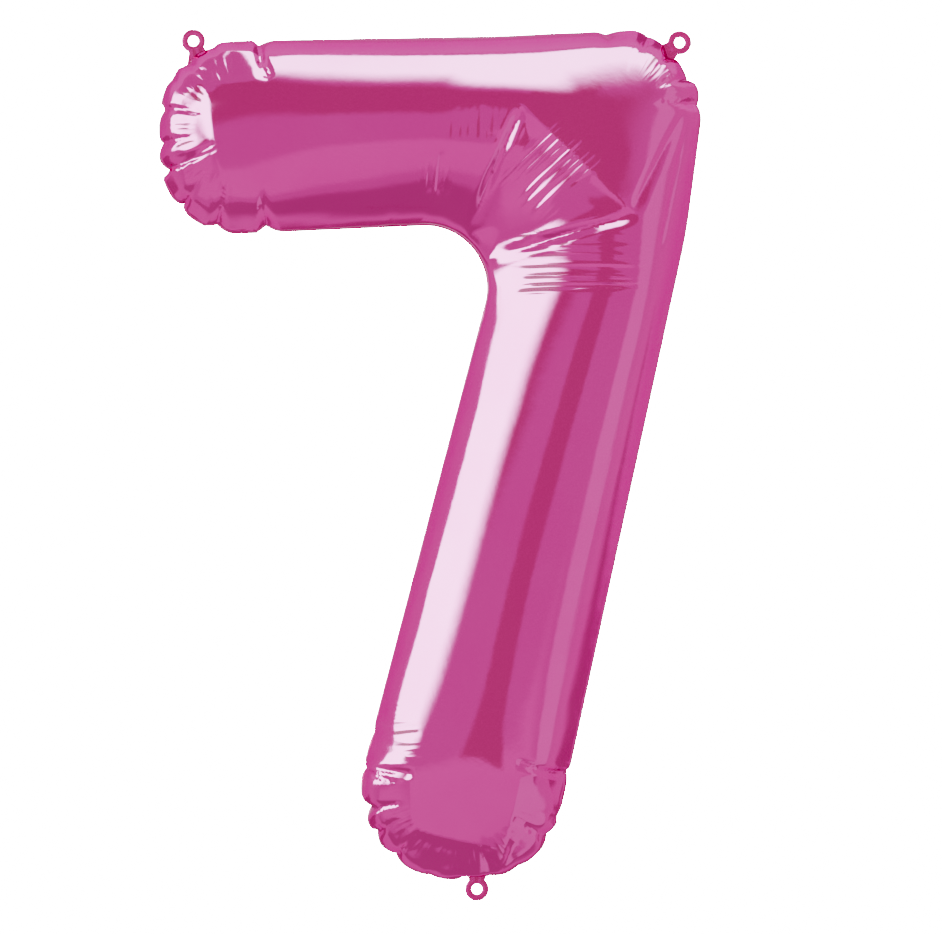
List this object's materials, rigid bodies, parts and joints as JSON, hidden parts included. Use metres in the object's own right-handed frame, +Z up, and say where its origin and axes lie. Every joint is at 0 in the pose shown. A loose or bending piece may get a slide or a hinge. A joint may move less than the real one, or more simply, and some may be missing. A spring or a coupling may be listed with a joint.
{
  "type": "foil number balloon",
  "caption": "Inflated metallised-film balloon in the shape of the figure 7, with a flat welded margin, a flat inflation valve and folding ring tabs for ribbon or line.",
  "frame": {"origin": "centre of the hole in the bottom tab, where the ribbon is tied, on the middle plane between the two films", "axes": "+Z up the figure, +X to the right as the figure is read, -Y towards its reader, so Y runs through its depth"},
  "size_m": [0.5495, 0.1886, 0.885],
  "materials": {
    "front_foil": "polished",
    "back_foil": "polished",
    "seam_weld": "gloss",
    "valve_film": "satin"
  },
  "bodies": {
    "envelope": {"front_foil_panel": "front_foil", "back_foil_panel": "back_foil", "perimeter_weld": "seam_weld", "valve_front_film": "valve_film", "valve_back_film": "valve_film"},
    "top_left_tab": {"top_left_tab_front_ply": "front_foil", "top_left_tab_back_ply": "back_foil"},
    "top_right_tab": {"top_right_tab_front_ply": "front_foil", "top_right_tab_back_ply": "back_foil"},
    "bottom_tab": {"bottom_tab_front_ply": "front_foil", "bottom_tab_back_ply": "back_foil"}
  },
  "joints": [
    {"name": "top_left_tab_fold", "type": "hinge", "parent": "envelope", "child": "top_left_tab", "pos_m": [-0.28372, 0, 0.84813], "axis": [0.9532, 0, 0.3024], "range_deg": [-90, 90], "stiffness_Nm_per_rad": 0.002},
    {"name": "top_right_tab_fold", "type": "hinge", "parent": "envelope", "child": "top_right_tab", "pos_m": [0.19513, 0, 0.85043], "axis": [0.6428, 0, -0.766], "range_deg": [-90, 90], "stiffness_Nm_per_rad": 0.002},
    {"name": "bottom_tab_fold", "type": "hinge", "parent": "envelope", "child": "bottom_tab", "pos_m": [0, 0, 0.0128], "axis": [-1, 0, 0], "range_deg": [-90, 90], "stiffness_Nm_per_rad": 0.002}
  ]
}
